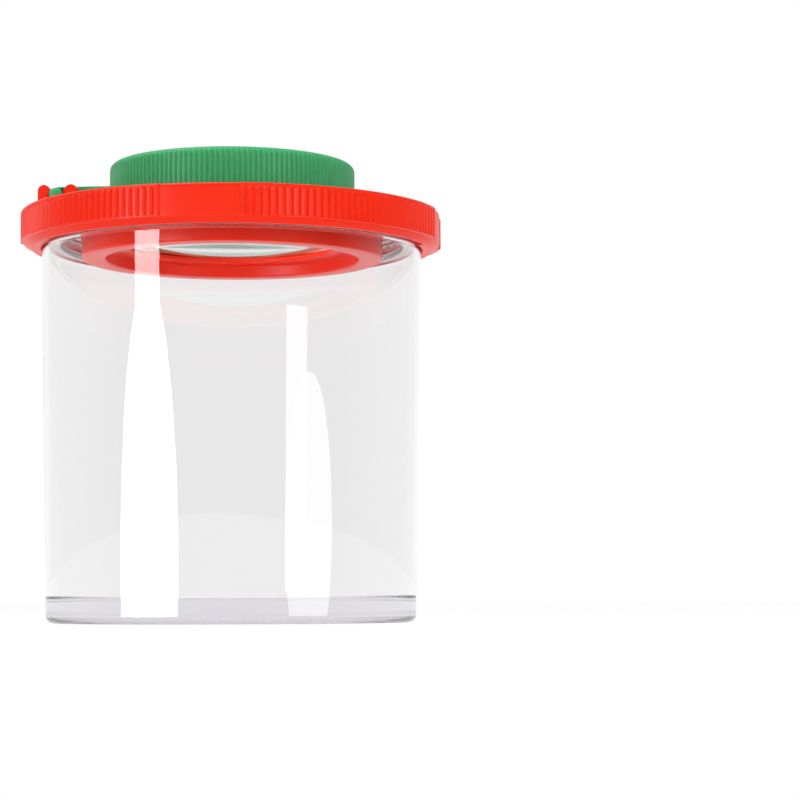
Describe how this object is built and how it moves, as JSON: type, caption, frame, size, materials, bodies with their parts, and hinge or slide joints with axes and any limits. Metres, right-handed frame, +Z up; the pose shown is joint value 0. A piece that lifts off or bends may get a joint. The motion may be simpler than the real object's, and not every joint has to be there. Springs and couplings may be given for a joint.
{
  "type": "bug viewer box",
  "caption": "Clear screw-top jar for live insects, with a magnifying lens in its ribbed lid and a flip-up ribbed magnifier on a snap hinge.",
  "frame": {"origin": "centre of the circle that the jar's foot stands on", "axes": "+Z up along the jar's axis, -X towards the hinge of the flip magnifier, +Y to the back"},
  "size_m": [0.069, 0.069, 0.0761],
  "materials": {
    "clear_plastic": "clear polished",
    "lens_plastic": "clear optical polish",
    "red_plastic": "satin gloss",
    "green_plastic": "satin gloss"
  },
  "bodies": {
    "jar": {"specimen_jar": "clear_plastic"},
    "lid_lens": {"fixed_lens": "lens_plastic"},
    "lid": {"screw_lid": "red_plastic"},
    "flip": {"flip_frame": "green_plastic", "flip_lens": "lens_plastic"}
  },
  "joints": [
    {"name": "lid_rise", "type": "slide", "parent": "jar", "child": "lid_lens", "axis": [0, 0, 1], "range_m": [0, 0.0081]},
    {"name": "lid_turn", "type": "hinge", "parent": "lid_lens", "child": "lid", "pos_m": [0, 0, 0], "axis": [0, 0, 1], "range_deg": [0, 720]},
    {"name": "flip_open", "type": "hinge", "parent": "lid", "child": "flip", "pos_m": [-0.0286, 0, 0.07081], "axis": [0, -1, 0], "range_deg": [0, 185]}
  ],
  "couplings": [
    {"joint": "lid_rise", "follows": "lid_turn", "m_per_rad": 0.00063662}
  ]
}
